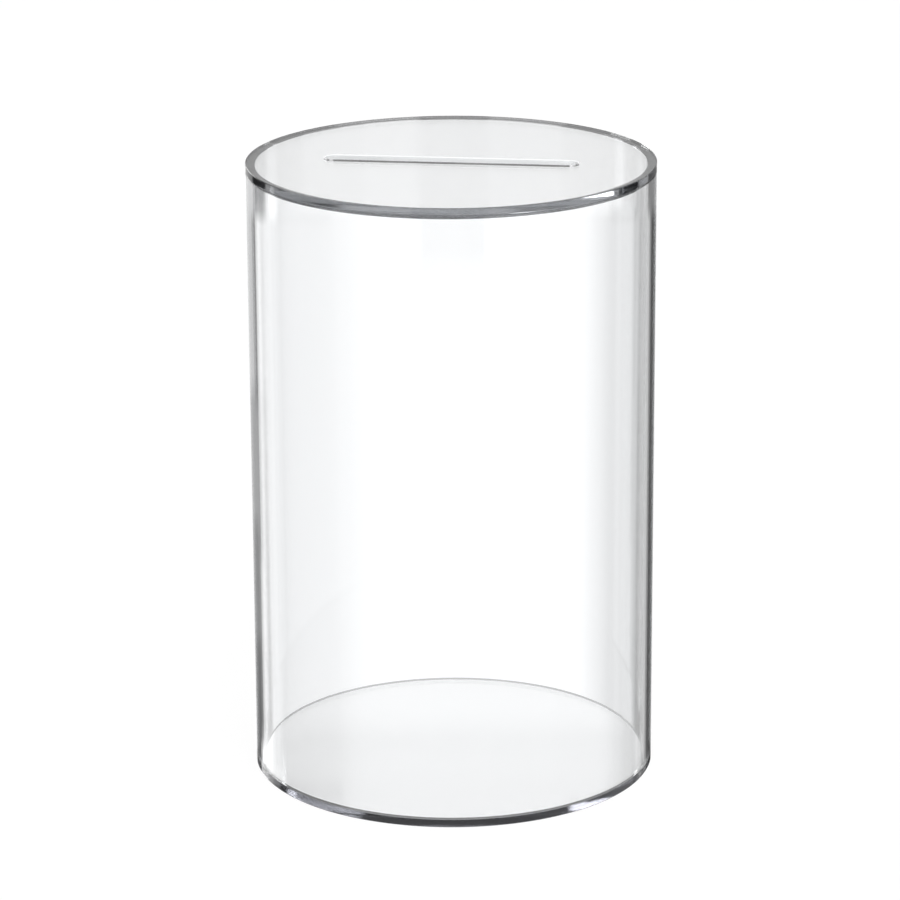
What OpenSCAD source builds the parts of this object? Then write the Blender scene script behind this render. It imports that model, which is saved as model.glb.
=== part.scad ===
// Round money box of clear acrylic: a tube, a base cemented under it and a lift-off lid with a slot.
// The origin is at the centre of the underside, +Z is up and the slot runs along X.

/* [Tube] */
// Outside diameter of the tube
tube_d = 100; // [80:1:160]
// Thickness of the tube wall
wall = 2; // [1.5:0.1:5]
// Length of the tube between the base and the lid
tube_len = 150; // [80:1:260]
// Bevel that takes the sharp corners off the upper end, where the lid sits
end_break = 0.2; // [0.1:0.05:0.5]

/* [Base] */
// Thickness of the sheet that the base is cut from
base_t = 2; // [1.5:0.1:6]

/* [Lid] */
// Thickness of the sheet that the lid is cut from
sheet = 3; // [2.5:0.1:6]
// Depth of the rebate round the lid, which leaves a spigot that enters the bore
rebate = 1; // [0.6:0.1:1.5]
// Lead-in bevel on the end of the spigot
lead_in = 0.2; // [0.1:0.05:0.5]
// Gap round the spigot, which lets the lid lift out
lid_fit = 0.15; // [0.1:0.05:0.6]

/* [Rims] */
// Bevel on the polished rims of the lid and under the base
rim_break = 0.2; // [0.1:0.05:0.4]

/* [Slot] */
// Length of the slot from end to end
slot_len = 62; // [20:1:72]
// Width of the slot for coins and folded notes
slot_w = 5; // [3:0.5:10]
// Bevel round the slot, on both faces of the lid
slot_break = 0.3; // [0.1:0.05:0.6]

/* [Hidden] */
$fn = 180;

rim_r = tube_d / 2;
bore_r = rim_r - wall;
spigot_r = bore_r - lid_fit;
flange = sheet - rebate;
lid_top_z = base_t + tube_len + flange;

// How far a cut runs past the face that it opens
past = 0.5;

clear_acrylic = [0.88, 0.92, 0.94, 0.35];

// Wall of the tube as it is revolved: square below for the cement, corners broken above
module tube_section() {
    polygon([
        [bore_r, 0],
        [rim_r, 0],
        [rim_r, tube_len - end_break],
        [rim_r - end_break, tube_len],
        [bore_r + end_break, tube_len],
        [bore_r, tube_len - end_break],
    ]);
}

// Half section of the plain base disc, which keeps a sharp upper corner where it meets the tube
module base_section() {
    polygon([
        [0, 0],
        [rim_r - rim_break, 0],
        [rim_r, rim_break],
        [rim_r, base_t],
        [0, base_t],
    ]);
}

// Half section of the rebated lid as it is machined, with its top down and its spigot up
module lid_section() {
    polygon([
        [0, 0],
        [rim_r - rim_break, 0],
        [rim_r, rim_break],
        [rim_r, flange - rim_break],
        [rim_r - rim_break, flange],
        [spigot_r, flange],
        [spigot_r, sheet - lead_in],
        [spigot_r - lead_in, sheet],
        [0, sheet],
    ]);
}

// A round-ended slot along X that widens evenly from one width to the other
module slot_step(low_w, high_w, height) {
    run = slot_len - slot_w;
    for (side = [-1, 1])
        translate([side * run / 2, 0, 0])
            cylinder(h = height, d1 = low_w, d2 = high_w);
    rotate([90, 0, 90])
        linear_extrude(height = run, center = true)
            polygon([
                [-low_w / 2, 0],
                [low_w / 2, 0],
                [high_w / 2, height],
                [-high_w / 2, height],
            ]);
}

// The whole slot through a disc: a straight cut and a bevel at each face
module slot_cut() {
    flare = slot_break + past;
    translate([0, 0, -past])
        slot_step(slot_w, slot_w, sheet + 2 * past);
    translate([0, 0, -past])
        slot_step(slot_w + 2 * flare, slot_w, flare);
    translate([0, 0, sheet - slot_break])
        slot_step(slot_w, slot_w + 2 * flare, flare);
}

module tube() {
    color(clear_acrylic)
        translate([0, 0, base_t])
            rotate_extrude()
                tube_section();
}

module base_disc() {
    color(clear_acrylic)
        rotate_extrude()
            base_section();
}

module lid_disc() {
    color(clear_acrylic)
        translate([0, 0, lid_top_z])
            mirror([0, 0, 1])
                difference() {
                    rotate_extrude()
                        lid_section();
                    slot_cut();
                }
}

tube();
base_disc();
lid_disc();
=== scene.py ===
"""Round money box of clear acrylic: tube, cemented base and lift-off slotted lid, with its studio."""

import math

import bpy
import numpy as np
from mathutils import Matrix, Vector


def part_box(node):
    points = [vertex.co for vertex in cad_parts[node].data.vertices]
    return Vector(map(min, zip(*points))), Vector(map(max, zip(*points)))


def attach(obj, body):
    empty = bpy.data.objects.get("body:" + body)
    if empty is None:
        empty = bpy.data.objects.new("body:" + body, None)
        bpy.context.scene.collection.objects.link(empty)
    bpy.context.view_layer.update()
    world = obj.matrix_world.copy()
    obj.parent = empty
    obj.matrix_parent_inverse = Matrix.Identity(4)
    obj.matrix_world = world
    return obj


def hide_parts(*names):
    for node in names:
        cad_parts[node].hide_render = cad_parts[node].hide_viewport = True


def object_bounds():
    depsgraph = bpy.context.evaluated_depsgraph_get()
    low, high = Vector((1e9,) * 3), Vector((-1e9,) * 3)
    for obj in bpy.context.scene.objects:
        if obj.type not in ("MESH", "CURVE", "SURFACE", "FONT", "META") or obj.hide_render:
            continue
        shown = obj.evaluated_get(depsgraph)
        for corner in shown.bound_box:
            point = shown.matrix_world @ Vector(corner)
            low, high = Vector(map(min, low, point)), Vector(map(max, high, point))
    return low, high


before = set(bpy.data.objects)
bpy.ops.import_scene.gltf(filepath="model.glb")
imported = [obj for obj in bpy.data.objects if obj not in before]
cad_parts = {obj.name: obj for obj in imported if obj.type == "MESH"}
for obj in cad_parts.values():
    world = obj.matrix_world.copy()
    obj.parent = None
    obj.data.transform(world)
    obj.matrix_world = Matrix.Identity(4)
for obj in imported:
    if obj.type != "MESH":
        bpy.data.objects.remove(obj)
CAD_BOX = [list(corner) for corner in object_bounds()]

bl_info = {
    "name": "Clear Acrylic Money Box",
    "version": (1, 0, 0),
    "blender": (4, 5, 0),
    "location": "View3D > Sidebar > Money Box",
    "description": "Builds a round clear acrylic money box with a lift-off slotted lid, and its studio",
    "category": "Object",
}

MM = 0.001
# Two heights or distances closer than this count as the same
NEAR = 0.05 * MM
# Share of the lid's radius within which every inner vertex belongs to the slot
SLOT_SHARE = 0.75


def radii_between(node, low, high):
    """Distances from the tube axis of a node's vertices between two heights."""
    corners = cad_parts[node].data.vertices
    return [math.hypot(v.co.x, v.co.y) for v in corners if low <= v.co.z <= high]


def slot_corners():
    """Vertices of the slot's straight wall in the lid, between its two bevels."""
    low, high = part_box("lid_disc")
    inner = SLOT_SHARE * high.x
    return [
        v.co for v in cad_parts["lid_disc"].data.vertices
        if math.hypot(v.co.x, v.co.y) < inner and low.z + NEAR < v.co.z < high.z - NEAR
    ]


TUBE_LOW, TUBE_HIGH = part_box("tube")
BASE_LOW, BASE_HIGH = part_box("base_disc")
LID_LOW, LID_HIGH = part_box("lid_disc")
RIM_RADIUS = min(abs(reach) for corner in CAD_BOX for reach in corner[:2])
BORE_RADIUS = min(radii_between("tube", TUBE_LOW.z, TUBE_HIGH.z))
LID_SPIGOT_RADIUS = max(radii_between("lid_disc", LID_LOW.z, TUBE_HIGH.z - NEAR))
SLOT_HALF_LENGTH = max(abs(co.x) for co in slot_corners())
SLOT_HALF_WIDTH = max(abs(co.y) for co in slot_corners())


class MoneyBoxSizes(bpy.types.PropertyGroup):
    """Small sizes of the visible pieces. The main ones come from the frame."""

    rim_round: bpy.props.FloatProperty(
        name="Rim round", description="Radius of the polished edges of the lid and base rims",
        default=0.2 * MM, unit="LENGTH")
    end_round: bpy.props.FloatProperty(
        name="Tube end round", description="Radius that breaks the corners of the tube's upper end",
        default=0.15 * MM, unit="LENGTH")
    trim_round: bpy.props.FloatProperty(
        name="Trim round", description="Radius of the corners trimmed flush at the cemented joint",
        default=0.04 * MM, unit="LENGTH")
    root_round: bpy.props.FloatProperty(
        name="Rebate root round", description="Radius that the cutter leaves inside the rebate",
        default=0.1 * MM, unit="LENGTH")
    slot_round: bpy.props.FloatProperty(
        name="Slot round", description="Radius of the eased edges of the slot",
        default=0.3 * MM, unit="LENGTH")
    seat_gap: bpy.props.FloatProperty(
        name="Seat gap", description="Thin film between the tube ends and the discs",
        default=0.03 * MM, unit="LENGTH")
    round_steps: bpy.props.IntProperty(
        name="Round steps", description="Faces across each rounded edge", default=4)


class MoneyBoxFinish(bpy.types.PropertyGroup):
    """Colours and optical values of the clear acrylic, and the painted shade of its rims, tube end and
    seat.
    """

    face_colour: bpy.props.FloatVectorProperty(
        name="Face colour", description="Colour of the acrylic seen through one polished face",
        default=(0.993, 0.997, 1.0), size=3, subtype="COLOR")
    # Painted shade: the rim, tube end and seat colours darken light that crosses those faces, standing
    # in for the shade they show.
    lid_rim_painted_shade: bpy.props.FloatVectorProperty(
        name="Lid rim painted shade", description="Painted shade on light that passes the polished rim of the lid",
        default=(0.15, 0.155, 0.166), size=3, subtype="COLOR")
    base_rim_painted_shade: bpy.props.FloatVectorProperty(
        name="Base rim painted shade", description="Painted shade on light that passes the trimmed rim of the base",
        default=(0.18, 0.18, 0.195), size=3, subtype="COLOR")
    end_painted_shade: bpy.props.FloatVectorProperty(
        name="Tube end painted shade", description="Painted shade on light that passes the sawn upper end of the tube",
        default=(0.15, 0.155, 0.165), size=3, subtype="COLOR")
    seat_painted_shade: bpy.props.FloatVectorProperty(
        name="Seat painted shade", description="Painted shade on light that passes the machined step under the lid",
        default=(0.1, 0.103, 0.11), size=3, subtype="COLOR")
    slot_colour: bpy.props.FloatVectorProperty(
        name="Slot wall colour", description="Colour of the milled wall of the slot",
        default=(0.95, 0.96, 0.965), size=3, subtype="COLOR")
    depth_colour: bpy.props.FloatVectorProperty(
        name="Depth colour", description="Colour that long paths through the acrylic take",
        default=(0.62, 0.64, 0.67), size=3, subtype="COLOR")
    sheet_density: bpy.props.FloatProperty(
        name="Sheet density", description="How fast light fades on its way through the sheet",
        default=10.0)
    tube_density: bpy.props.FloatProperty(
        name="Tube density", description="How fast light fades on its way through the tube",
        default=36.0)
    ior: bpy.props.FloatProperty(
        name="Refractive index", description="Refractive index of acrylic", default=1.49)
    haze: bpy.props.FloatProperty(
        name="Handling haze", description="Roughness of the hazy patches that handling leaves",
        default=0.03, subtype="FACTOR")
    rim_haze: bpy.props.FloatProperty(
        name="Rim haze", description="Roughness that hand polishing leaves on the rims",
        default=0.06, subtype="FACTOR")
    drawn_depth: bpy.props.FloatProperty(
        name="Drawn line depth", description="Depth of the lines that the die draws along the tube",
        default=0.004 * MM, unit="LENGTH")
    polish_depth: bpy.props.FloatProperty(
        name="Polish wave depth", description="Depth of the waves that polishing leaves on a rim",
        default=0.004 * MM, unit="LENGTH")
    mill_depth: bpy.props.FloatProperty(
        name="Mill mark depth", description="Depth of the cutter marks on the slot's wall",
        default=0.02 * MM, unit="LENGTH")
    patch_size: bpy.props.FloatProperty(
        name="Haze patch size", description="Size of the hazy patches that handling leaves",
        default=18 * MM, unit="LENGTH")
    rim_waves: bpy.props.FloatProperty(
        name="Rim waves", description="Waves that polishing leaves on each radian of a rim", default=9.0)
    drawn_lines: bpy.props.FloatProperty(
        name="Drawn lines", description="Lines that the die draws side by side round the tube",
        default=60.0)
    slot_clearness: bpy.props.FloatProperty(
        name="Slot clearness", description="Share of light that passes the milled wall of the slot",
        default=0.3, subtype="FACTOR")
    slot_smoothest: bpy.props.FloatProperty(
        name="Smoothest slot wall", description="Least roughness among the slot's cutter marks",
        default=0.3, subtype="FACTOR")
    slot_roughest: bpy.props.FloatProperty(
        name="Roughest slot wall", description="Most roughness among the slot's cutter marks",
        default=0.55, subtype="FACTOR")


class MoneyBoxStage(bpy.types.PropertyGroup):
    """Camera and studio."""

    camera_azimuth: bpy.props.FloatProperty(
        name="Camera azimuth", description="Turn of the camera round the box, 0 looks along +Y",
        default=math.radians(7.5), subtype="ANGLE")
    camera_distance: bpy.props.FloatProperty(
        name="Camera distance", description="Level distance of the camera from the tube axis",
        default=0.9502, unit="LENGTH")
    camera_height: bpy.props.FloatProperty(
        name="Camera height", description="Height of the camera above the floor",
        default=0.3728, unit="LENGTH")
    camera_pitch: bpy.props.FloatProperty(
        name="Camera pitch", description="How far the camera looks down",
        default=math.radians(17.112), subtype="ANGLE")
    camera_yaw: bpy.props.FloatProperty(
        name="Camera yaw", description="How far the camera looks past the axis",
        default=math.radians(-0.037), subtype="ANGLE")
    camera_roll: bpy.props.FloatProperty(
        name="Camera roll", description="Tilt of the frame",
        default=math.radians(-0.281), subtype="ANGLE")
    lens: bpy.props.FloatProperty(
        name="Lens", description="Focal length on a 36 mm sensor", default=160.24, unit="CAMERA")
    floor_albedo: bpy.props.FloatProperty(
        name="Floor albedo", description="Share of the floor's brightness that can fall into shadow",
        default=0.06, subtype="FACTOR")
    surround_radius: bpy.props.FloatProperty(
        name="Surround radius", description="How far the studio cards stand from the box",
        default=6.0, unit="LENGTH")
    surround_height: bpy.props.FloatProperty(
        name="Surround height", description="Height of the level line of the studio cards",
        default=0.08, unit="LENGTH")
    softbox_size: bpy.props.FloatProperty(
        name="Softbox size", description="Side of the square softbox", default=0.8, unit="LENGTH")
    softbox_energy: bpy.props.FloatProperty(
        name="Softbox energy", description="Light that the softbox gives", default=12.0, unit="POWER")
    softbox_place: bpy.props.FloatVectorProperty(
        name="Softbox place", description="Middle of the softbox",
        default=(0.3, -0.7, 1.3), size=3, subtype="TRANSLATION")
    softbox_tilt: bpy.props.FloatProperty(
        name="Softbox tilt", description="How far the softbox leans towards the box",
        default=math.radians(33), subtype="ANGLE")
    light_bounces: bpy.props.IntProperty(
        name="Light bounces", description="How often light may bend or mirror in the clear pieces",
        default=40)


class MoneyBoxSettings(bpy.types.PropertyGroup):
    """Everything a user can change."""

    sizes: bpy.props.PointerProperty(type=MoneyBoxSizes)
    finish: bpy.props.PointerProperty(type=MoneyBoxFinish)
    stage: bpy.props.PointerProperty(type=MoneyBoxStage)


# Rings of points round the box. Every ring has END_POINTS on each round end of the slot and
# SIDE_POINTS on each long side, so that rings of the slot and round rings can be joined.
END_POINTS = 40
SIDE_POINTS = 104
RING_POINTS = 2 * (END_POINTS + SIDE_POINTS)


def round_ring():
    """(foot, outward direction) pairs of a ring about the axis."""
    ring = []
    for i in range(RING_POINTS):
        turn = 2 * math.pi * i / RING_POINTS
        ring.append(((0.0, 0.0), (math.cos(turn), math.sin(turn))))
    return ring


def slot_ring():
    """(foot, outward direction) pairs of a ring round the slot's centre line."""
    reach = SLOT_HALF_LENGTH - SLOT_HALF_WIDTH
    half_end = END_POINTS // 2
    ring = []
    for side in (1, -1):
        for i in range(half_end):
            turn = 0.5 * math.pi * i / half_end
            ring.append(((side * reach, 0.0), (side * math.cos(turn), side * math.sin(turn))))
        for i in range(SIDE_POINTS):
            along = reach * (1 - 2 * i / SIDE_POINTS)
            ring.append(((side * along, 0.0), (0.0, float(side))))
        for i in range(half_end):
            turn = 0.5 * math.pi * (1 + i / half_end)
            ring.append(((-side * reach, 0.0), (side * math.cos(turn), side * math.sin(turn))))
    return ring


ROUND = round_ring()
SLOT = slot_ring()


def rounded_section(corners, steps, closed):
    """Section points (ring, out, height, normal) of corners (ring, out, height, round).

    The corners run anticlockwise. The ends of an open section stay sharp.
    """
    points = []
    count = len(corners)
    for i, (ring, out, height, radius) in enumerate(corners):
        if not closed and i in (0, count - 1):
            other = corners[1] if i == 0 else corners[-2]
            way = 1 if i == 0 else -1
            step = (way * (other[1] - out), way * (other[2] - height))
            length = math.hypot(*step)
            points.append((ring, out, height, (step[1] / length, -step[0] / length)))
            continue
        before, after = corners[i - 1], corners[(i + 1) % count]
        come = (out - before[1], height - before[2])
        go = (after[1] - out, after[2] - height)
        come = tuple(c / math.hypot(*come) for c in come)
        go = tuple(c / math.hypot(*go) for c in go)
        turn = math.atan2(come[0] * go[1] - come[1] * go[0], come[0] * go[0] + come[1] * go[1])
        setback = radius * math.tan(abs(turn) / 2)
        side = 1 if turn > 0 else -1
        first = math.atan2(-come[0], come[1])
        start = (out - come[0] * setback, height - come[1] * setback)
        centre = (start[0] - side * radius * math.cos(first), start[1] - side * radius * math.sin(first))
        for k in range(steps + 1):
            angle = first + turn * k / steps
            normal = (math.cos(angle), math.sin(angle))
            swing = side * radius
            points.append((ring, centre[0] + swing * normal[0], centre[1] + swing * normal[1], normal))
    return points


def ring_mesh(name, points, closed):
    """Object whose rings follow the section points, with true normals on its curves."""
    verts, normals, faces, milled = [], [], [], []
    poles = []
    for ring, out, height, normal in points:
        poles.append(out == 0)
        for foot, way in ring[:1] if out == 0 else ring:
            verts.append((foot[0] + out * way[0], foot[1] + out * way[1], height))
            normals.append((normal[0] * way[0], normal[0] * way[1], normal[1]))
    starts, total = [], 0
    for pole in poles:
        starts.append(total)
        total += 1 if pole else RING_POINTS
    for k in range(len(points) if closed else len(points) - 1):
        here, there = k, (k + 1) % len(points)
        for i in range(RING_POINTS):
            j = (i + 1) % RING_POINTS
            a = [starts[here]] if poles[here] else [starts[here] + i, starts[here] + j]
            b = [starts[there]] if poles[there] else [starts[there] + j, starts[there] + i]
            faces.append(a + b)
            milled.append(1.0 if points[here][0] is SLOT and points[there][0] is SLOT else 0.0)
    mesh = bpy.data.meshes.new(name)
    mesh.from_pydata(verts, [], faces)
    mesh.attributes.new("milled", "FLOAT", "FACE").data.foreach_set("value", milled)
    mesh.validate()
    mesh.shade_smooth()
    mesh.normals_split_custom_set_from_vertices(normals)
    piece = bpy.data.objects.new(name, mesh)
    bpy.context.scene.collection.objects.link(piece)
    return piece


FLOAT = "NodeSocketFloat"
COLOUR = "NodeSocketColor"
RIM_GROUP = "rim shade and polish"
HAZE_GROUP = "handling haze"

# Distances from a disc's edge at which the painted shade of its rim sets in and is full
RIM_SHADE_START = 0.25 * MM
RIM_SHADE_FULL = 0.1 * MM
# Distances below the tube's upper end at which the painted shade of the end sets in and is full
END_SHADE_START = 0.2 * MM
END_SHADE_FULL = 0.1 * MM
# How far above the tube's end the machined step under the lid keeps its painted shade
SEAT_SHADE_RISE = 0.06 * MM
# Noise values at which a hazy patch sets in and is full
HAZE_START = 0.5
HAZE_FULL = 0.75
HAZE_DETAIL = 4.0
RIM_WAVE_DETAIL = 2.0
DRAWN_DETAIL = 3.0
# Changes of a drawn line along each metre of the tube
DRAWN_CHANGES = 4.0
# Cutter marks on the slot's wall along it and down it, in marks for each metre
MARKS_ALONG = 3 / MM
MARKS_DOWN = 0.4 / MM
MARK_DETAIL = 2.0


def new_group(name, inputs, outputs):
    """Empty shader node group with float or colour sockets, and its input and output nodes."""
    group = bpy.data.node_groups.new(name, "ShaderNodeTree")
    for label, kind in inputs:
        group.interface.new_socket(label, in_out="INPUT", socket_type=kind)
    for label, kind in outputs:
        group.interface.new_socket(label, in_out="OUTPUT", socket_type=kind)
    return group, group.nodes.new("NodeGroupInput"), group.nodes.new("NodeGroupOutput")


def feed(tree, socket, value):
    """Link a socket to another one, or set it to a number or colour."""
    if isinstance(value, bpy.types.NodeSocket):
        tree.links.new(value, socket)
    else:
        socket.default_value = value


def add_math(tree, operation, *values):
    """Math node whose inputs are sockets or numbers. Returns its output."""
    node = tree.nodes.new("ShaderNodeMath")
    node.operation = operation
    for socket, value in zip(node.inputs, values):
        feed(tree, socket, value)
    return node.outputs[0]


def add_range(tree, value, start, end, low=0.0, high=1.0, smooth=False):
    """Node that maps start to low and end to high and holds them beyond. Returns its output."""
    node = tree.nodes.new("ShaderNodeMapRange")
    node.interpolation_type = "SMOOTHSTEP" if smooth else "LINEAR"
    for label, number in (("From Min", start), ("From Max", end), ("To Min", low), ("To Max", high)):
        node.inputs[label].default_value = number
    tree.links.new(value, node.inputs["Value"])
    return node.outputs[0]


def add_mix(tree, share, plain, toned):
    """Mix of two colours, given as sockets or values, by a share. Returns its output."""
    node = tree.nodes.new("ShaderNodeMix")
    node.data_type = "RGBA"
    sockets = {socket.identifier: socket for socket in (*node.inputs, *node.outputs)}
    feed(tree, sockets["Factor_Float"], share)
    feed(tree, sockets["A_Color"], plain)
    feed(tree, sockets["B_Color"], toned)
    return sockets["Result_Color"]


def add_place(tree):
    """Object coordinates of the shaded point, as three sockets."""
    place = tree.nodes.new("ShaderNodeTexCoord")
    split = tree.nodes.new("ShaderNodeSeparateXYZ")
    tree.links.new(place.outputs["Object"], split.inputs[0])
    return tuple(split.outputs)


def add_reach(tree, x, y):
    """Distance from the tube axis."""
    squares = [add_math(tree, "MULTIPLY", side, side) for side in (x, y)]
    return add_math(tree, "SQRT", add_math(tree, "ADD", *squares))


def add_noise(tree, place, detail):
    """Noise at a place given as three sockets or numbers. Returns its value."""
    join = tree.nodes.new("ShaderNodeCombineXYZ")
    for socket, value in zip(join.inputs, place):
        feed(tree, socket, value)
    noise = tree.nodes.new("ShaderNodeTexNoise")
    noise.inputs["Scale"].default_value = 1.0
    noise.inputs["Detail"].default_value = detail
    tree.links.new(join.outputs[0], noise.inputs["Vector"])
    return noise.outputs["Fac"]


def add_bump(tree, surface, height, depth):
    """Bump of a given depth that feeds a surface's normal."""
    bump = tree.nodes.new("ShaderNodeBump")
    bump.inputs["Distance"].default_value = depth
    tree.links.new(height, bump.inputs["Height"])
    tree.links.new(bump.outputs["Normal"], surface.inputs["Normal"])


def rim_shade_and_polish_group(name):
    """Painted rim shade, polish waves and haze of a disc, by the distance from its edge."""
    group, given, result = new_group(
        name,
        [("Rim radius", FLOAT), ("Face colour", COLOUR), ("Rim painted shade", COLOUR),
         ("Waves", FLOAT), ("Haze", FLOAT)],
        [("Colour", COLOUR), ("Height", FLOAT), ("Roughness", FLOAT)])
    x, y, height = add_place(group)
    inset = add_math(group, "SUBTRACT", given.outputs["Rim radius"], add_reach(group, x, y))
    # Painted shade: the colour turns from the face colour to the dark rim colour near the disc's edge.
    rim = add_range(group, inset, RIM_SHADE_START, RIM_SHADE_FULL)
    along = add_math(group, "MULTIPLY", add_math(group, "ARCTAN2", y, x), given.outputs["Waves"])
    layer = add_math(group, "MULTIPLY", height, 1 / MM)
    waves = add_noise(group, (along, layer, 0.0), RIM_WAVE_DETAIL)
    colour = add_mix(group, rim, given.outputs["Face colour"], given.outputs["Rim painted shade"])
    group.links.new(colour, result.inputs["Colour"])
    group.links.new(add_math(group, "MULTIPLY", waves, rim), result.inputs["Height"])
    haze = add_math(group, "MULTIPLY", rim, given.outputs["Haze"])
    group.links.new(haze, result.inputs["Roughness"])
    return group


def handling_group(name):
    """Hazy patches left by handling, as a roughness."""
    group, given, result = new_group(
        name, [("Patch size", FLOAT), ("Haze", FLOAT)], [("Roughness", FLOAT)])
    place = group.nodes.new("ShaderNodeTexCoord")
    noise = group.nodes.new("ShaderNodeTexNoise")
    noise.inputs["Detail"].default_value = HAZE_DETAIL
    group.links.new(place.outputs["Object"], noise.inputs["Vector"])
    scale = add_math(group, "DIVIDE", 1.0, given.outputs["Patch size"])
    group.links.new(scale, noise.inputs["Scale"])
    patch = add_range(group, noise.outputs["Fac"], HAZE_START, HAZE_FULL, smooth=True)
    haze = add_math(group, "MULTIPLY", patch, given.outputs["Haze"])
    group.links.new(haze, result.inputs["Roughness"])
    return group


def place_group(material, name, make, values):
    """Place a node group in a material with its own values, building it the first time."""
    node = material.node_tree.nodes.new("ShaderNodeGroup")
    node.node_tree = bpy.data.node_groups.get(name) or make(name)
    for socket, value in values.items():
        node.inputs[socket].default_value = value
    return node


def clear_acrylic(name, finish, density):
    """Clear acrylic with true refraction, depth colour and handling haze."""
    material = bpy.data.materials.new(name)
    material.use_nodes = True
    nodes, links = material.node_tree.nodes, material.node_tree.links
    surface = nodes["Principled BSDF"]
    surface.inputs["Base Color"].default_value = (*finish.face_colour, 1)
    surface.inputs["IOR"].default_value = finish.ior
    surface.inputs["Transmission Weight"].default_value = 1.0
    haze = place_group(material, HAZE_GROUP, handling_group, {
        "Patch size": finish.patch_size,
        "Haze": finish.haze,
    })
    links.new(haze.outputs["Roughness"], surface.inputs["Roughness"])
    depth = nodes.new("ShaderNodeVolumeAbsorption")
    depth.inputs["Color"].default_value = (*finish.depth_colour, 1)
    depth.inputs["Density"].default_value = density
    links.new(depth.outputs["Volume"], nodes["Material Output"].inputs["Volume"])
    return material


def tube_material(finish):
    """Extruded tube: faint lines drawn along it by the die, and painted shade on its upper end."""
    material = clear_acrylic("clear tube", finish, finish.tube_density)
    tree = material.node_tree
    surface = tree.nodes["Principled BSDF"]
    x, y, height = add_place(tree)
    turn = add_math(tree, "ARCTAN2", y, x)
    lines = add_noise(tree, (
        add_math(tree, "MULTIPLY", turn, finish.drawn_lines / (2 * math.pi)),
        add_math(tree, "MULTIPLY", height, DRAWN_CHANGES),
        add_math(tree, "MULTIPLY", add_reach(tree, x, y), 1 / MM),
    ), DRAWN_DETAIL)
    add_bump(tree, surface, lines, finish.drawn_depth)
    # Painted shade: the tube's upper end turns dark.
    end = add_range(tree, height, TUBE_HIGH.z - END_SHADE_START, TUBE_HIGH.z - END_SHADE_FULL)
    colour = add_mix(tree, end, (*finish.face_colour, 1), (*finish.end_painted_shade, 1))
    tree.links.new(colour, surface.inputs["Base Color"])
    return material


def sheet_material(name, finish, rim_shade_tone):
    """Cast sheet: polished faces and a rim with painted shade and polish waves."""
    material = clear_acrylic(name, finish, finish.sheet_density)
    tree = material.node_tree
    surface = tree.nodes["Principled BSDF"]
    # Painted shade on the rim, together with real polish waves and haze.
    rim = place_group(material, RIM_GROUP, rim_shade_and_polish_group, {
        "Rim radius": RIM_RADIUS,
        "Face colour": (*finish.face_colour, 1),
        "Rim painted shade": (*rim_shade_tone, 1),
        "Waves": finish.rim_waves,
        "Haze": finish.rim_haze,
    })
    tree.links.new(rim.outputs["Colour"], surface.inputs["Base Color"])
    handled = surface.inputs["Roughness"].links[0].from_socket
    rough = add_math(tree, "MAXIMUM", handled, rim.outputs["Roughness"])
    tree.links.new(rough, surface.inputs["Roughness"])
    add_bump(tree, surface, rim.outputs["Height"], finish.polish_depth)
    return material


def add_seat_painted_shade(material, finish):
    """Painted shade on the machined step under the lid, darker than the polished faces."""
    tree = material.node_tree
    surface = tree.nodes["Principled BSDF"]
    x, y, height = add_place(tree)
    # Painted shade: the step under the lid turns dark.
    outer = add_math(tree, "GREATER_THAN", add_reach(tree, x, y), LID_SPIGOT_RADIUS - NEAR)
    under = add_math(tree, "LESS_THAN", height, TUBE_HIGH.z + SEAT_SHADE_RISE)
    step = add_math(tree, "MULTIPLY", outer, under)
    plain = surface.inputs["Base Color"].links[0].from_socket
    colour = add_mix(tree, step, plain, (*finish.seat_painted_shade, 1))
    tree.links.new(colour, surface.inputs["Base Color"])


def add_slot_wall(material, finish):
    """Milled wall of the slot: satin with cutter marks from the slot, clear from inside the sheet."""
    tree = material.node_tree
    clear = tree.nodes["Principled BSDF"]
    satin = tree.nodes.new("ShaderNodeBsdfPrincipled")
    satin.inputs["Base Color"].default_value = (*finish.slot_colour, 1)
    satin.inputs["IOR"].default_value = finish.ior
    satin.inputs["Transmission Weight"].default_value = finish.slot_clearness
    x, y, height = add_place(tree)
    marks = add_noise(tree, (
        add_math(tree, "MULTIPLY", x, MARKS_ALONG),
        add_math(tree, "MULTIPLY", y, MARKS_ALONG),
        add_math(tree, "MULTIPLY", height, MARKS_DOWN),
    ), MARK_DETAIL)
    rough = add_range(tree, marks, 0.0, 1.0, finish.slot_smoothest, finish.slot_roughest)
    tree.links.new(rough, satin.inputs["Roughness"])
    add_bump(tree, satin, marks, finish.mill_depth)
    wall = tree.nodes.new("ShaderNodeAttribute")
    wall.attribute_name = "milled"
    side = tree.nodes.new("ShaderNodeNewGeometry")
    outside = add_math(tree, "SUBTRACT", wall.outputs["Fac"], side.outputs["Backfacing"])
    both = tree.nodes.new("ShaderNodeMixShader")
    tree.links.new(outside, both.inputs["Fac"])
    tree.links.new(clear.outputs[0], both.inputs[1])
    tree.links.new(satin.outputs[0], both.inputs[2])
    tree.links.new(both.outputs[0], tree.nodes["Material Output"].inputs["Surface"])


class MONEYBOX_OT_tube(bpy.types.Operator):
    """Make the clear tube between the base and the lid"""

    bl_idname = "money_box.tube"
    bl_label = "Tube"

    def execute(self, context):
        settings = context.scene.money_box
        sizes = settings.sizes
        low, high = TUBE_LOW.z + sizes.seat_gap, TUBE_HIGH.z - sizes.seat_gap
        corners = [
            (ROUND, BORE_RADIUS, low, sizes.trim_round),
            (ROUND, RIM_RADIUS, low, sizes.trim_round),
            (ROUND, RIM_RADIUS, high, sizes.end_round),
            (ROUND, BORE_RADIUS, high, sizes.end_round),
        ]
        piece = ring_mesh("acrylic_tube", rounded_section(corners, sizes.round_steps, True), True)
        piece.data.materials.append(tube_material(settings.finish))
        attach(piece, "box")
        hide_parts("tube")
        return {"FINISHED"}


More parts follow.
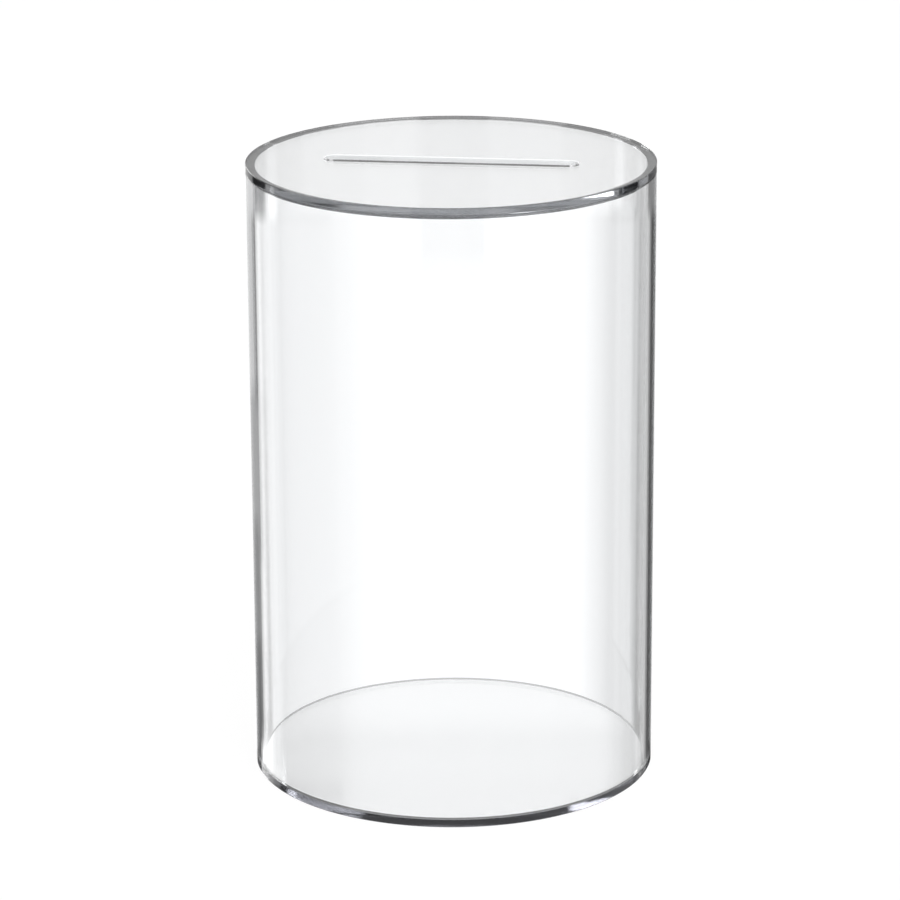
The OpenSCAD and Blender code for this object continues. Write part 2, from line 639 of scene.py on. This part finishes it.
class MONEYBOX_OT_base(bpy.types.Operator):
    """Make the plain base disc"""

    bl_idname = "money_box.base"
    bl_label = "Base"

    def execute(self, context):
        settings = context.scene.money_box
        sizes = settings.sizes
        corners = [
            (ROUND, 0.0, BASE_LOW.z, 0.0),
            (ROUND, RIM_RADIUS, BASE_LOW.z, sizes.rim_round),
            (ROUND, RIM_RADIUS, BASE_HIGH.z, sizes.trim_round),
            (ROUND, 0.0, BASE_HIGH.z, 0.0),
        ]
        piece = ring_mesh("acrylic_base", rounded_section(corners, sizes.round_steps, False), False)
        piece.data.materials.append(
            sheet_material("clear base sheet", settings.finish, settings.finish.base_rim_painted_shade))
        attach(piece, "box")
        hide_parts("base_disc")
        return {"FINISHED"}


class MONEYBOX_OT_lid(bpy.types.Operator):
    """Make the rebated lid disc with its slot"""

    bl_idname = "money_box.lid"
    bl_label = "Lid"

    def execute(self, context):
        settings = context.scene.money_box
        sizes = settings.sizes
        corners = [
            (SLOT, SLOT_HALF_WIDTH, LID_LOW.z, sizes.slot_round),
            (ROUND, LID_SPIGOT_RADIUS, LID_LOW.z, sizes.rim_round),
            (ROUND, LID_SPIGOT_RADIUS, TUBE_HIGH.z, sizes.root_round),
            (ROUND, RIM_RADIUS, TUBE_HIGH.z, sizes.rim_round),
            (ROUND, RIM_RADIUS, LID_HIGH.z, sizes.rim_round),
            (SLOT, SLOT_HALF_WIDTH, LID_HIGH.z, sizes.slot_round),
        ]
        piece = ring_mesh("acrylic_lid", rounded_section(corners, sizes.round_steps, True), True)
        material = sheet_material("clear lid sheet", settings.finish, settings.finish.lid_rim_painted_shade)
        add_seat_painted_shade(material, settings.finish)
        add_slot_wall(material, settings.finish)
        piece.data.materials.append(material)
        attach(piece, "lid")
        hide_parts("lid_disc")
        return {"FINISHED"}


SENSOR_WIDTH = 36.0
CLIP_START = 0.01


def make_camera(stage):
    """Camera at the photograph's angle, described in the shared frame."""
    camera = bpy.data.objects.new("camera", bpy.data.cameras.new("camera"))
    camera.data.lens = stage.lens
    camera.data.sensor_width = SENSOR_WIDTH
    camera.data.clip_start = CLIP_START
    place = (
        stage.camera_distance * math.sin(stage.camera_azimuth),
        -stage.camera_distance * math.cos(stage.camera_azimuth),
        stage.camera_height,
    )
    turn = Matrix.Rotation(stage.camera_azimuth - stage.camera_yaw, 4, "Z")
    tilt = Matrix.Rotation(math.pi / 2 - stage.camera_pitch, 4, "X")
    roll = Matrix.Rotation(stage.camera_roll, 4, "Z")
    camera.matrix_world = Matrix.Translation(place) @ turn @ tilt @ roll
    bpy.context.scene.collection.objects.link(camera)
    bpy.context.scene.camera = camera


def make_world():
    """Even white light from all round."""
    world = bpy.data.worlds.new("studio")
    world.use_nodes = True
    world.node_tree.nodes["Background"].inputs["Color"].default_value = (1, 1, 1, 1)
    bpy.context.scene.world = world


# What the clear pieces mirror and bend into view: cards set round the box, each given as its name,
# its left and right ends in degrees to the right of straight behind, its lower and upper ends in
# degrees above level, and its brightness, where 1 is white paper. Later cards stand in front.
# ALL_ROUND, BELOW and ABOVE run past the ends of the shell, so that no soft edge shows there.
ALL_ROUND = (-200, 200)
BELOW = -100
ABOVE = 100
CARDS = (
    ("room", *ALL_ROUND, BELOW, ABOVE, 0.7),
    ("overhead light", *ALL_ROUND, 40, ABOVE, 1.2),
    ("table", *ALL_ROUND, BELOW, -24.3, 1.0),
    ("table grey card", -76, 0, -40, -24.3, 0.3),
    ("table paper", -52, -23, -40, -24.3, 1.12),
    ("paper behind the camera", 126, 159, -20.5, -8, 1.2),
    ("low dark behind the camera", 162, 202, -14.2, -8, 0.08),
    ("high dark behind the camera", 162, 202, 8, 16, 0.08),

    ("left wall", -112, -50, -24.5, -8, 0.5),
    ("left paper", -60, -20, -24.5, -8, 1.0),
    ("left bright paper", -50, -20, -24.5, -8, 1.5),
    ("left grey card", -37, -5, -18.8, -8, 0.4),
    ("lower left pale card", -35, -5, -21.8, -18.2, 0.42),
    ("lower left grey card", -31, -5, -21.8, -18.2, 0.28),
    ("lowest left grey card", -31, -5, -21.8, -20.2, 0.18),
    ("left dark card", -28.5, -5, -24.5, -21.2, 0.15),
    ("upper left card", -36, -5, -16, -8, 0.6),
    ("upper left flag", -34, -29.5, -16.2, -8, 0.08),
    ("right wall", 50, 112, -24.5, -8, 0.7),
    ("right grey card", 46, 54, -24.5, -8, 0.55),
    ("right shaded paper", 40, 51, -24.5, -8, 0.45),
    ("right bright paper", 36, 49.5, -24.5, -8, 1.0),
    ("right paper", 26, 41.5, -24.5, -8, 0.7),
    ("right grey flag", 20, 29.5, -24.5, -8, 0.13),
    ("right flag", 5, 24, -24.5, -8, 0.06),
    ("back paper", -12, 11.5, -24.5, -8, 1.2),
    ("left part of the back paper", -12, -2.6, -24.5, -13.1, 1.07),
    ("shaded back paper", 5, 11.5, -24.5, -13.1, 0.92),
    ("back paper edge", 7.8, 11.5, -24.5, -13.1, 0.78),

    ("low left grey card", -38, -11.5, -13.1, -8, 0.7),
    ("low left flag", -56, -34, -13.1, -8, 0.03),
    ("low left light", -66, -54, -13.1, -8, 1.6),
    ("low left wall", -110, -64, -13.1, -8, 0.1),
    ("low right grey card", 11, 40, -13.1, -8, 0.25),
    ("low right light", 37, 54, -13.1, -8, 0.9),
    ("low right flag", 52, 80, -13.1, -8, 0.0),

    ("back ceiling", -15, 24, 8, 17.5, 0.62),
    ("right ceiling", 20, 50, 8, 17.5, 0.2),
    ("right ceiling light", 48, 56, 8, 17.5, 2.5),
    ("right ceiling flag", 54, 110, 8, 17.5, 0.0),
    ("left ceiling card", -26, -12, 8, 17.5, 5.0),
    ("left ceiling light", -42, -22, 8, 17.5, 7.0),
    ("left ceiling flag", -58, -42, 8, 17.5, 0.0),
    ("left ceiling patch", -78, -56, 8, 17.5, 2.0),
    ("left ceiling corner", -110, -76, 8, 17.5, 0.05),

    ("left table line", -112, -58, -22.65, -22.35, 0.02),
    ("right table line", 24, 52, -22.65, -22.35, 0.02),
    ("table left card", -27, -15, -24.5, -22.65, 0.3),
    ("table left light", -42, -26, -24.5, -22.65, 14.0),
    ("table left flag", -67, -58, -24.5, -22.65, 0.02),
    ("table left corner", -110, -65, -24.5, -22.65, 0.3),
    ("table right edge", 19, 41, -24.5, -22.65, 4.2),
    ("table right light", 39, 46, -24.5, -22.65, 8.0),
    ("table right card", 44, 56, -24.5, -22.65, 0.5),
    ("table right flag", 54, 82, -24.5, -22.65, 0.35),
    ("table right wall", 80, 110, -24.5, -22.65, 0.3),

    ("high back ceiling", -24, 21, 17, 28, 0.62),
    ("top back ceiling", -24, 21, 20.3, 28, 0.3),
    ("highest back ceiling", -24, 21, 21.2, 28, 0.2),
    ("high left card", -112, -24, 17.5, 26, 0.4),
    ("high right card", 21, 112, 17.5, 26, 0.2),
    ("high right light", 20, 42, 21.15, 26, 3.0),
    ("high right spot", 42, 47, 21.0, 23, 8.0),
    ("high right flag", 54, 110, 17, 26, 0.0),

    ("level paper", *ALL_ROUND, -8, 6, 1.1),
    ("level flag 1", -109, -100, -8, 6, 0.35),
    ("level flag 2", -65, -56, -8, 6, 0.35),
    ("level flag 3", -19, -10, -8, 6, 0.35),
    ("level flag 4", 25, 33, -8, 6, 0.35),
)
# Width of a card's soft edges in degrees, at its sides and at its lower and upper ends
CARD_SIDE_EDGE = 1.5
CARD_LEVEL_EDGE = 0.3
# Steps of the shell in degrees: sideways, up within SHELL_FINE of level, and up beyond that
SHELL_SIDE_STEP = 1.0
SHELL_FINE_STEP = 0.25
SHELL_COARSE_STEP = 3.0
SHELL_FINE = 30


def card_cover(angle, low, high, edge):
    """Share of a card at each angle, from 0 outside it to 1 inside, with a soft edge."""
    rise = np.clip((angle - low) / edge + 0.5, 0, 1)
    fall = np.clip((high - angle) / edge + 0.5, 0, 1)
    return rise * fall


def card_light(across, above):
    """Brightness of the cards at directions given in degrees."""
    light = np.zeros_like(across)
    for _, left, right, low, high, level in CARDS:
        middle = (left + right) / 2
        near = (across - middle + 180) % 360 - 180 + middle
        wide = card_cover(near, left, right, CARD_SIDE_EDGE)
        tall = card_cover(above, low, high, CARD_LEVEL_EDGE)
        cover = wide * tall
        light = light * (1 - cover) + level * cover
    return light


def shell_mesh(stage):
    """Round shell about the box that holds the light of the cards at its points."""
    across = np.arange(-180, 180, SHELL_SIDE_STEP)
    above = np.concatenate([
        np.arange(-90, -SHELL_FINE, SHELL_COARSE_STEP),
        np.arange(-SHELL_FINE, SHELL_FINE, SHELL_FINE_STEP),
        np.arange(SHELL_FINE, 90 + SHELL_COARSE_STEP / 2, SHELL_COARSE_STEP),
    ])
    across_grid, above_grid = np.meshgrid(np.radians(across), np.radians(above))
    turn = across_grid - stage.camera_azimuth
    reach = stage.surround_radius
    places = np.stack([
        reach * np.cos(above_grid) * np.sin(turn),
        reach * np.cos(above_grid) * np.cos(turn),
        reach * np.sin(above_grid) + stage.surround_height,
    ], axis=-1).reshape(-1, 3)
    faces = []
    wide = len(across)
    for row in range(len(above) - 1):
        lower, upper = row * wide, (row + 1) * wide
        for i in range(wide):
            j = (i + 1) % wide
            faces.append((lower + i, lower + j, upper + j, upper + i))
    mesh = bpy.data.meshes.new("surround")
    mesh.from_pydata(places.tolist(), [], faces)
    light = card_light(np.degrees(across_grid), np.degrees(above_grid)).ravel()
    mesh.attributes.new("card_light", "FLOAT", "POINT").data.foreach_set("value", light)
    return mesh


def make_surround(stage):
    """Shell that carries the cards. Only mirrored and bent rays see it."""
    mesh = shell_mesh(stage)
    surround = bpy.data.objects.new("surround", mesh)
    bpy.context.scene.collection.objects.link(surround)
    material = bpy.data.materials.new("studio cards")
    material.use_nodes = True
    nodes, links = material.node_tree.nodes, material.node_tree.links
    surface = nodes["Principled BSDF"]
    surface.inputs["Base Color"].default_value = (0, 0, 0, 1)
    surface.inputs["Specular IOR Level"].default_value = 0.0
    surface.inputs["Emission Strength"].default_value = 1.0
    cards = nodes.new("ShaderNodeAttribute")
    cards.attribute_name = "card_light"
    links.new(cards.outputs["Fac"], surface.inputs["Emission Color"])
    mesh.materials.append(material)
    material.cycles.emission_sampling = "NONE"
    surround.visible_camera = False
    surround.visible_diffuse = False
    surround.visible_shadow = False


def make_softbox(stage):
    """Soft light above the camera side. It lights the satin wall of the slot and the floor."""
    light = bpy.data.lights.new("softbox", "AREA")
    light.shape = "SQUARE"
    light.size = stage.softbox_size
    light.energy = stage.softbox_energy
    softbox = bpy.data.objects.new("softbox", light)
    tilt = Matrix.Rotation(stage.softbox_tilt, 4, "X")
    softbox.matrix_world = Matrix.Translation(stage.softbox_place) @ tilt
    softbox.visible_glossy = False
    softbox.visible_transmission = False
    softbox.visible_camera = False
    bpy.context.scene.collection.objects.link(softbox)


FLOOR_HALF = 3.0
# The floor lies a hair under the base, so that the two faces never coincide
FLOOR_DROP = 0.05 * MM


def make_floor(stage):
    """Pale floor that shows white and keeps the shadow."""
    mesh = bpy.data.meshes.new("floor")
    ways = ((-1, -1), (1, -1), (1, 1), (-1, 1))
    corners = [(x * FLOOR_HALF, y * FLOOR_HALF, -FLOOR_DROP) for x, y in ways]
    mesh.from_pydata(corners, [], [(0, 1, 2, 3)])
    floor = bpy.data.objects.new("floor", mesh)
    bpy.context.scene.collection.objects.link(floor)
    material = bpy.data.materials.new("pale floor")
    material.use_nodes = True
    surface = material.node_tree.nodes["Principled BSDF"]
    surface.inputs["Base Color"].default_value = (stage.floor_albedo,) * 3 + (1,)
    surface.inputs["Roughness"].default_value = 1.0
    surface.inputs["Specular IOR Level"].default_value = 0.0
    surface.inputs["Emission Color"].default_value = (1, 1, 1, 1)
    surface.inputs["Emission Strength"].default_value = 1 - stage.floor_albedo
    mesh.materials.append(material)
    floor.visible_glossy = False
    floor.visible_transmission = False


class MONEYBOX_OT_stage(bpy.types.Operator):
    """Set up the floor, the light and the camera"""

    bl_idname = "money_box.stage"
    bl_label = "Stage"

    def execute(self, context):
        stage = context.scene.money_box.stage
        context.scene.view_settings.view_transform = "Standard"
        context.scene.cycles.max_bounces = stage.light_bounces
        context.scene.cycles.glossy_bounces = stage.light_bounces
        context.scene.cycles.transmission_bounces = stage.light_bounces
        make_camera(stage)
        make_world()
        make_surround(stage)
        make_softbox(stage)
        make_floor(stage)
        return {"FINISHED"}


class MONEYBOX_PT_panel(bpy.types.Panel):
    """Lists the steps and the sizes in the sidebar"""

    bl_idname = "MONEYBOX_PT_panel"
    bl_label = "Money Box"
    bl_space_type = "VIEW_3D"
    bl_region_type = "UI"
    bl_category = "Money Box"

    def draw(self, context):
        settings = context.scene.money_box
        for operator in OPERATORS:
            self.layout.operator(operator.bl_idname)
        for group in (settings.sizes, settings.finish, settings.stage):
            box = self.layout.box()
            for name in group.__annotations__:
                box.prop(group, name)


OPERATORS = (MONEYBOX_OT_tube, MONEYBOX_OT_base, MONEYBOX_OT_lid, MONEYBOX_OT_stage)
CLASSES = (MoneyBoxSizes, MoneyBoxFinish, MoneyBoxStage, MoneyBoxSettings, *OPERATORS, MONEYBOX_PT_panel)


def register():
    for cls in CLASSES:
        bpy.utils.register_class(cls)
    bpy.types.Scene.money_box = bpy.props.PointerProperty(type=MoneyBoxSettings)


def unregister():
    del bpy.types.Scene.money_box
    for cls in reversed(CLASSES):
        bpy.utils.unregister_class(cls)


def main():
    register()
    bpy.ops.money_box.tube()
    bpy.ops.money_box.base()
    bpy.ops.money_box.lid()
    bpy.ops.money_box.stage()


if __name__ == "__main__":
    main()
